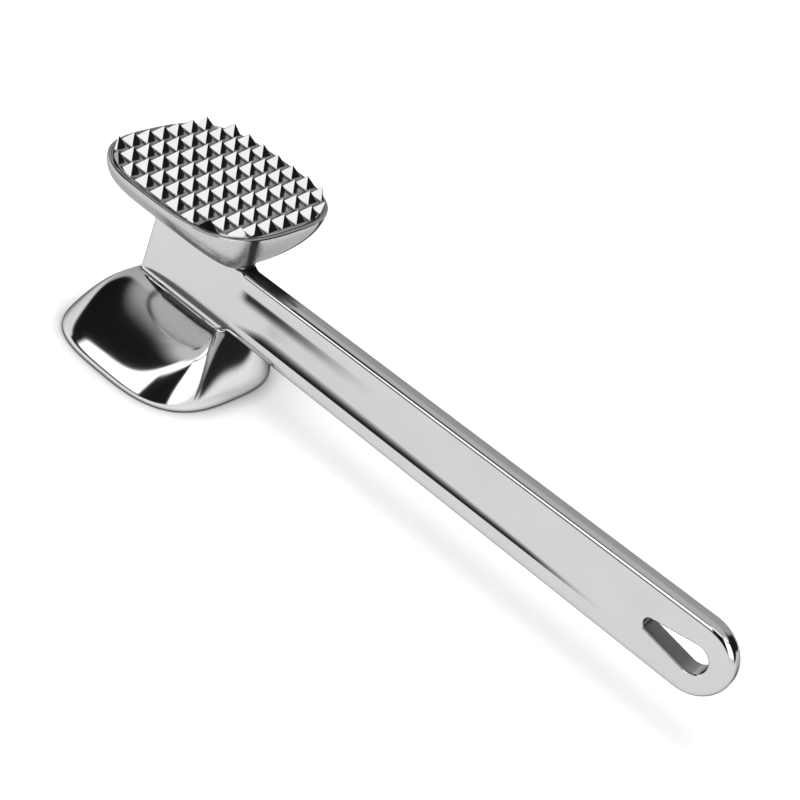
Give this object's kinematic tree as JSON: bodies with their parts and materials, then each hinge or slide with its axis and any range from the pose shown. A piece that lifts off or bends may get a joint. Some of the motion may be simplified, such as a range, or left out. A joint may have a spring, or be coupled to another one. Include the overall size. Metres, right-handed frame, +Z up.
{
  "type": "meat mallet",
  "caption": "Double-sided meat mallet with a toothed face, a smooth face and a flat bar handle that ends in a teardrop hanging hole.",
  "frame": {"origin": "centre of the smooth striking face", "axes": "+X along the handle, away from the head; +Z up through the head, from the smooth face to the toothed face; Y across the mallet, which is symmetric about Y = 0"},
  "size_m": [0.2212, 0.057, 0.063],
  "materials": {
    "polished_casting": "mirror polished",
    "toothed_face": "polished",
    "satin_casting": "fine satin polish"
  },
  "bodies": {
    "root": {"smooth_head": "polished_casting", "toothed_head": "polished_casting", "tooth_grid": "toothed_face", "neck_web": "satin_casting", "handle": "satin_casting"}
  },
  "joints": []
}
